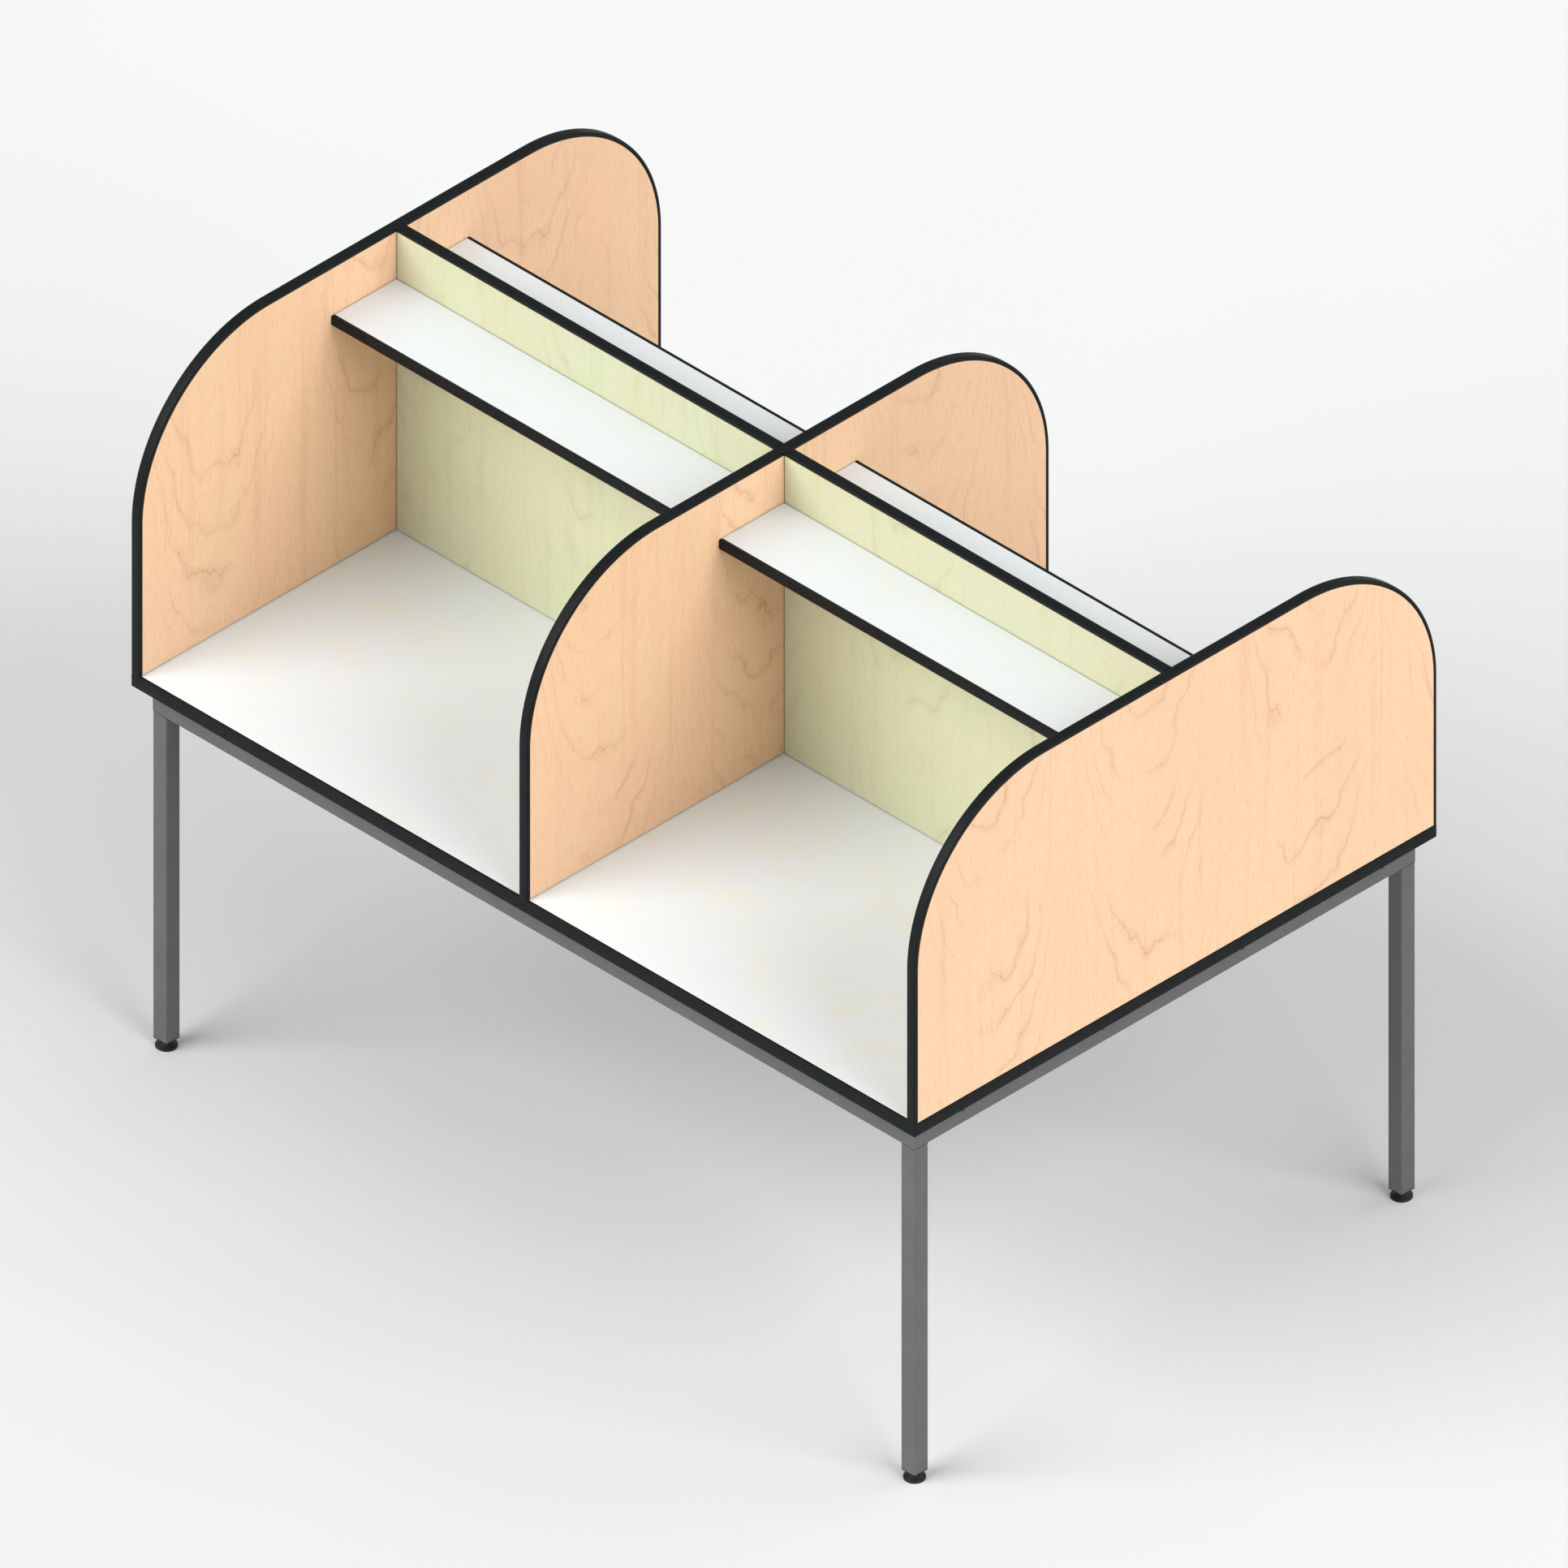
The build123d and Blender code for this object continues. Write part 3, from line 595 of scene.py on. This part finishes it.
def straight_edging(name, across, inward, start, end, width, thickness):
    """A length of T-edging from start to end, cut square at both ends."""
    section = tee_section(width, thickness)
    points, faces = swept(section, [(start, across, inward), (end, across, inward)])
    add_piece(f"{name}_moulding", points, faces, "edging", stands_for=[name])


def make_edgings():
    """The T-edgings of the side screens, the spine and the shelves."""
    for name in SCREENS:
        low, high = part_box(f"{name}_edging")
        board_low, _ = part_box(name)
        thickness = board_low.y - low.y
        middle = (low.x + high.x) / 2
        section = tee_section(high.x - low.x, thickness)
        outline = screen_outline(low, high, SCREEN_CORNER_RADIUS)
        centre_y = (low.y + high.y) / 2
        corner_z = high.z - SCREEN_CORNER_RADIUS
        corner_y = (high.y - low.y) / 2 - SCREEN_CORNER_RADIUS
        stations = []
        for y, z in outline:
            hub = Vector((0, centre_y + max(-corner_y, min(corner_y, y - centre_y)), min(z, corner_z)))
            inward = (hub - Vector((0, y, z))).normalized()
            stations.append((Vector((middle, y, z)), Vector((1, 0, 0)), inward))
        points, faces = swept(section, stations)
        add_piece(f"{name}_edging_moulding", points, faces, "edging", stands_for=[f"{name}_edging"])

    to_back, up = Vector((0, 1, 0)), Vector((0, 0, 1))
    for side in SIDES:
        low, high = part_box(f"spine_{side}_edging")
        _, board_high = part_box(f"spine_{side}")
        middle = (low.y + high.y) / 2
        start, end = Vector((low.x, middle, high.z)), Vector((high.x, middle, high.z))
        width, thickness = high.y - low.y, high.z - board_high.z
        straight_edging(f"spine_{side}_edging", to_back, -up, start, end, width, thickness)
        for row, outward in (("front", -1), ("back", 1)):
            name = f"shelf_{row}_{side}"
            low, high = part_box(f"{name}_edging")
            board_low, board_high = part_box(name)
            outer = low.y if outward < 0 else high.y
            board_edge = board_low.y if outward < 0 else board_high.y
            middle = (low.z + high.z) / 2
            start, end = Vector((low.x, outer, middle)), Vector((high.x, outer, middle))
            width, thickness = high.z - low.z, abs(outer - board_edge)
            straight_edging(f"{name}_edging", up, -outward * to_back, start, end, width, thickness)


def band_plan(length, thickness, inset, covers_ends):
    """Plan of a worktop band as (along, inward) points, its outer edge moved in by inset."""
    if not covers_ends:
        return rectangle(-length / 2, length / 2, inset, thickness)
    half, corner = length / 2 - inset, BAND_CORNER
    plan = [(-half, thickness)]
    plan += arc((-half + corner, inset + corner), corner, 180, 270, CORNER_STEPS)
    plan += arc((half - corner, inset + corner), corner, 270, 360, CORNER_STEPS)
    plan.append((half, thickness))
    return plan


def make_bands():
    """The flat bands round the worktop, with eased edges. Front and back cover the ends."""
    to_right, to_back = Vector((1, 0, 0)), Vector((0, 1, 0))
    easing = arc((BAND_DOME, BAND_DOME), BAND_DOME, 180, 270, EASE_STEPS)
    for place, along, inward in (
        ("front", to_right, to_back),
        ("back", to_right, -to_back),
        ("left", to_back, to_right),
        ("right", to_back, -to_right),
    ):
        name = f"worktop_band_{place}"
        low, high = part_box(name)
        length, thickness = (high - low).dot(along), abs((high - low).dot(inward))
        outer = (low + high) / 2 - thickness / 2 * inward
        levels = [(low.z + rise, inset) for rise, inset in easing]
        levels += [(high.z - rise, inset) for rise, inset in reversed(easing)]
        loops = []
        for height, inset in levels:
            middle = Vector((outer.x, outer.y, height))
            plan = band_plan(length, thickness, inset, covers_ends=place in ROWS)
            loops.append([middle + a * along + b * inward for a, b in plan])
        points, faces = skin(loops)
        add_piece(f"{name}_moulding", points, faces, "edge_band", stands_for=[name])


# ------------------------------------------------------------------ levelling feet


def threaded_rod(centre, bottom, top, steps=40):
    """A single-start thread as helical rows of points, run out to its root at both ends."""
    root = THREAD_RADIUS - THREAD_DEPTH
    crest_gain, root_flat = 1.6, 0.25
    pitches = math.ceil((top - bottom) / THREAD_PITCH)
    row_count = (pitches + 2) * THREAD_ROWS

    def point(row, step):
        height = bottom + (row / THREAD_ROWS - 1 + step / steps) * THREAD_PITCH
        height = max(bottom, min(top, height))
        phase = (row % THREAD_ROWS) / THREAD_ROWS
        ridge = max(0.0, min(1.0, crest_gain * (1 - abs(2 * phase - 1)) - root_flat))
        runout = min(1.0, (height - bottom) / THREAD_PITCH, (top - height) / THREAD_PITCH)
        reach = root + THREAD_DEPTH * ridge * runout
        angle = 2 * math.pi * step / steps
        return centre + Vector((reach * math.cos(angle), reach * math.sin(angle), height))

    points, faces = [], []
    for row in range(row_count + 1):
        points += [point(row, step) for step in range(steps)]
    for row in range(row_count - THREAD_ROWS):
        for step in range(steps):
            a = row * steps + step
            # One turn ends a pitch higher than it starts
            b = (row + THREAD_ROWS) * steps if step == steps - 1 else a + 1
            faces.append((a, b, b + steps, a + steps))
    return points, faces


def hexagon(centre, bottom, top):
    """A hexagon with its corners trimmed at both ends."""
    full, trimmed = 1.0, 0.93
    levels = [(bottom, trimmed), (bottom + HEXAGON_TRIM, full)]
    levels += [(top - HEXAGON_TRIM, full), (top, trimmed)]
    loops = []
    for height, share in levels:
        reach = HEXAGON_FLATS / math.sqrt(3) * share
        loop = []
        for i in range(6):
            angle = math.radians(30 + 60 * i)
            loop.append(centre + Vector((reach * math.cos(angle), reach * math.sin(angle), height)))
        loops.append(loop)
    return skin(loops)


def cap_open_ends(piece):
    """Close the flat ends of a threaded rod."""
    shape = bmesh.new()
    shape.from_mesh(piece.data)
    loose = [edge for edge in shape.edges if edge.is_boundary]
    bmesh.ops.holes_fill(shape, edges=loose, sides=0)
    bmesh.ops.recalc_face_normals(shape, faces=shape.faces)
    shape.to_mesh(piece.data)
    shape.free()


def make_levelling_feet():
    """Foot, levelling screw and leg plug at each of the four legs."""
    for row in ROWS:
        for side in SIDES:
            corner = f"{row}_{side}"
            foot_low, foot_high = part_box(f"leveller_foot_{corner}")
            screw_low, screw_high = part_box(f"leveller_screw_{corner}")
            plug_low, plug_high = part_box(f"leg_plug_{corner}")
            centre = (foot_low + foot_high) / 2
            centre.z = 0.0
            foot_radius = (foot_high.x - foot_low.x) / 2
            make_foot(corner, centre, foot_radius, foot_high.z)
            make_screw(corner, centre, screw_low.z, plug_low.z, screw_high.z)
            make_plug(corner, plug_low, plug_high)


def make_foot(corner, centre, radius, top):
    """Round nylon foot: recessed underside, grooved rim, cone and a socket for the screw."""
    recess, ring = 0.6 * MM, 7.0 * MM  # it stands on a ring round the recess
    edge, rim, ease, chamfer = 0.9 * MM, 4.5 * MM, 0.5 * MM, 0.4 * MM
    groove_bottom, groove_top, groove_depth, groove_slope = 2.2 * MM, 3.0 * MM, 0.35 * MM, 0.2 * MM
    shoulder, slope_sag, slope_steps = 10.0 * MM, 0.5 * MM, 6
    neck, socket, socket_floor, socket_roof = 4.55 * MM, 6.55 * MM, 2.5 * MM, 5.3 * MM

    groove = radius - groove_depth
    profile = [(0, recess), (radius - ring, recess), (radius - ring + recess, 0.0)]
    profile += arc((radius - edge, edge), edge, 270, 360, 5)
    profile += [(radius, groove_bottom), (groove, groove_bottom + groove_slope)]
    profile += [(groove, groove_top - groove_slope), (radius, groove_top)]
    profile += [(radius, rim - chamfer), (radius - ease, rim)]
    for i in range(1, slope_steps + 1):
        share = i / slope_steps
        across = radius - ease + (shoulder - radius + ease) * share
        height = rim + (top - rim - chamfer) * share - slope_sag * math.sin(math.pi * share)
        profile.append((across, height))
    profile += [(shoulder - ease, top), (neck + chamfer, top), (neck, top - chamfer)]
    profile += [(neck, socket_roof), (socket, socket_roof), (socket, socket_floor), (0, socket_floor)]
    points, faces = revolve(profile, centre, steps=64)
    name = f"leveller_foot_{corner}"
    add_piece(f"{name}_moulding", points, faces, "foot_plastic", [name], f"foot_{corner}")


def make_screw(corner, centre, bottom, flange_bottom, top):
    """M10 levelling screw: disc in the foot, neck, hexagon and thread up into the leg."""
    disc, disc_height, neck, chamfer = 6.5 * MM, 2.5 * MM, 4.5 * MM, 0.3 * MM
    sunk = 0.1 * MM  # how far the neck and the thread reach into the hexagon
    disc_top = bottom + disc_height
    hexagon_bottom = flange_bottom - HEXAGON_HEIGHT
    shank = [(0, bottom), (disc - chamfer, bottom), (disc, bottom + chamfer)]
    shank += [(disc, disc_top - chamfer), (disc - chamfer, disc_top), (neck, disc_top)]
    shank += [(neck, hexagon_bottom + sunk), (0, hexagon_bottom + sunk)]
    shapes = [
        revolve(shank, centre),
        hexagon(centre, hexagon_bottom, flange_bottom),
        threaded_rod(centre, flange_bottom - sunk, top),
    ]
    points, faces = several(shapes)
    name = f"leveller_screw_{corner}"
    body = f"levelling_screw_{corner}"
    cap_open_ends(add_piece(f"{name}_threaded", points, faces, "plated_steel", [name], body))


def rounded_square(centre, size, radius, height):
    """A square loop with rounded corners, level at a height."""
    half = size / 2 - radius
    loop = []
    for i, (sx, sy) in enumerate(((1, 1), (-1, 1), (-1, -1), (1, -1))):
        for x, y in arc((sx * half, sy * half), radius, 90 * i, 90 * i + 90, 5):
            loop.append(Vector((centre.x + x, centre.y + y, height)))
    return loop


def make_plug(corner, low, high):
    """Square nylon plug in the end of a leg, its flange flush with the tube."""
    centre, size = (low + high) / 2, high.x - low.x
    flange, corner_radius, ease = 2.5 * MM, 2.0 * MM, 0.5 * MM
    slack, body_radius, lead_in = 4.0 * MM, 1.5 * MM, 1.0 * MM
    shoulder, body = low.z + flange, size - slack
    levels = (
        (size - 2 * ease, corner_radius - 0.8 * ease, low.z),
        (size - 0.6 * ease, corner_radius - 0.2 * ease, low.z + 0.3 * ease),
        (size, corner_radius, low.z + ease),
        (size, corner_radius, shoulder - 0.3 * ease),
        (size - 0.6 * ease, corner_radius - 0.2 * ease, shoulder),
        (body, body_radius, shoulder),
        (body, body_radius, high.z - lead_in),
        (body - 2 * lead_in, body_radius, high.z),
    )
    points, faces = skin([rounded_square(centre, *level) for level in levels])
    name = f"leg_plug_{corner}"
    add_piece(f"{name}_moulding", points, faces, "plug_plastic", [name])


# ------------------------------------------------------------------ welds


def weld_bead(start, end, first_wall, second_wall):
    """A rippled fillet bead from start to end, in the corner of two walls.

    first_wall and second_wall are unit vectors from the corner along each wall.
    """
    sunk = 0.3 * MM  # how far its root reaches into the corner
    end_share, trough, ripple_rise, hollow = 0.35, 0.90, 0.12, 0.12
    length = (end - start).length
    along = (end - start).normalized()
    steps = max(8, round(length / WELD_RIPPLE) * 4)
    loops = []
    for i in range(steps + 1):
        distance = length * i / steps
        ripple = (distance / WELD_RIPPLE) % 1.0
        to_end = min(distance, length - distance)
        taper = min(1.0, to_end / WELD_TAPER + end_share)
        size = WELD_SIZE * taper * (trough + ripple_rise * ripple)
        base = start + distance * along
        loop = [base - sunk * (first_wall + second_wall)]
        for x, y in arc((0, 0), size, 0, 90, 6):
            reach = 1 - hollow * math.sin(2 * math.atan2(y, x))
            loop.append(base + reach * (x * first_wall + y * second_wall))
        loops.append(loop)
    return skin(loops)


def make_leg_welds():
    """Two beads under the rails, on the inner faces of each leg."""
    margin = 2.5 * MM
    down = Vector((0, 0, -1))
    for row, to_middle_y in (("front", 1), ("back", -1)):
        for side, to_middle_x in (("left", 1), ("right", -1)):
            low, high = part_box(f"leg_{row}_{side}")
            x = high.x if to_middle_x > 0 else low.x
            y = high.y if to_middle_y > 0 else low.y
            beads = []
            for first, last, wall in (
                ((x, low.y + margin), (x, high.y - margin), Vector((to_middle_x, 0, 0))),
                ((low.x + margin, y), (high.x - margin, y), Vector((0, to_middle_y, 0))),
            ):
                start, end = Vector((*first, high.z)), Vector((*last, high.z))
                beads.append(weld_bead(start, end, wall, down))
            points, faces = several(beads)
            add_piece(f"weld_{row}_{side}", points, faces, "frame_steel")


def make_cross_rail_welds():
    """Upright beads on both sides of the cross rail, where it meets the apron rails."""
    bottom_margin, top_margin = 3 * MM, 5 * MM
    low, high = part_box("cross_rail")
    beads = []
    for y, to_middle_y in ((low.y, 1), (high.y, -1)):
        for x, outward in ((low.x, -1), (high.x, 1)):
            bottom = Vector((x, y, low.z + bottom_margin))
            top = Vector((x, y, high.z - top_margin))
            beads.append(weld_bead(bottom, top, Vector((outward, 0, 0)), Vector((0, to_middle_y, 0))))
    points, faces = several(beads)
    add_piece("weld_cross_rail", points, faces, "frame_steel")


make_boards()
make_edgings()
make_bands()
make_levelling_feet()
make_leg_welds()
make_cross_rail_welds()


# ------------------------------------------------------------------ studio


def make_floor():
    """A plain pale floor, level with the undersides of the feet."""
    mesh = bpy.data.meshes.new("floor")
    reach = 20.0
    corners = [(-reach, -reach, 0), (reach, -reach, 0), (reach, reach, 0), (-reach, reach, 0)]
    mesh.from_pydata(corners, [], [(0, 1, 2, 3)])
    floor = bpy.data.objects.new("floor", mesh)
    bpy.context.scene.collection.objects.link(floor)
    finish = Finish("floor", roughness=0.75, specular=0.2)
    tone = finish.noise((1.5, 1.5, 1.5), detail=3)
    finish.colour(finish.mix(tone, srgb(205, 206, 207), srgb(208, 208, 208)))
    mesh.materials.append(finish.material)


def make_world():
    """Even pale light from all round."""
    world = bpy.data.worlds.new("studio")
    bpy.context.scene.world = world
    world.use_nodes = True
    background = world.node_tree.nodes["Background"]
    background.inputs["Color"].default_value = (1.0, 1.0, 1.0, 1.0)
    background.inputs["Strength"].default_value = 0.45


def make_lights():
    """Broad soft lights: one from the right, one from the front left and a weak one behind."""
    for name, toward_light, energy in (
        ("right", (1.0, 0.0, 0.7), 2.3),
        ("front_left", (-0.3, -0.85, 0.65), 2.9),
        ("behind", (0.3, 0.8, 0.7), 0.5),
    ):
        lamp = bpy.data.lights.new(name, "SUN")
        lamp.energy = energy
        lamp.angle = math.radians(45)
        light = bpy.data.objects.new(name, lamp)
        light.rotation_euler = Vector(toward_light).to_track_quat("Z", "Y").to_euler()
        bpy.context.scene.collection.objects.link(light)


def make_camera():
    """Isometric view: parallel projection, 45 degrees round, equal scale on all three axes."""
    width_in_view, distance = 2.588, 18.0
    lens = bpy.data.cameras.new("camera")
    lens.type = "ORTHO"
    lens.ortho_scale = width_in_view
    lens.clip_end = 100.0
    camera = bpy.data.objects.new("camera", lens)
    centre = (cad_low + cad_high) / 2
    toward_camera = Vector((1, -1, 1)).normalized()
    camera.location = centre + distance * toward_camera
    camera.rotation_euler = toward_camera.to_track_quat("Z", "Y").to_euler()
    bpy.context.scene.collection.objects.link(camera)
    bpy.context.scene.camera = camera


make_floor()
make_world()
make_lights()
make_camera()
bpy.context.scene.view_settings.view_transform = "Standard"
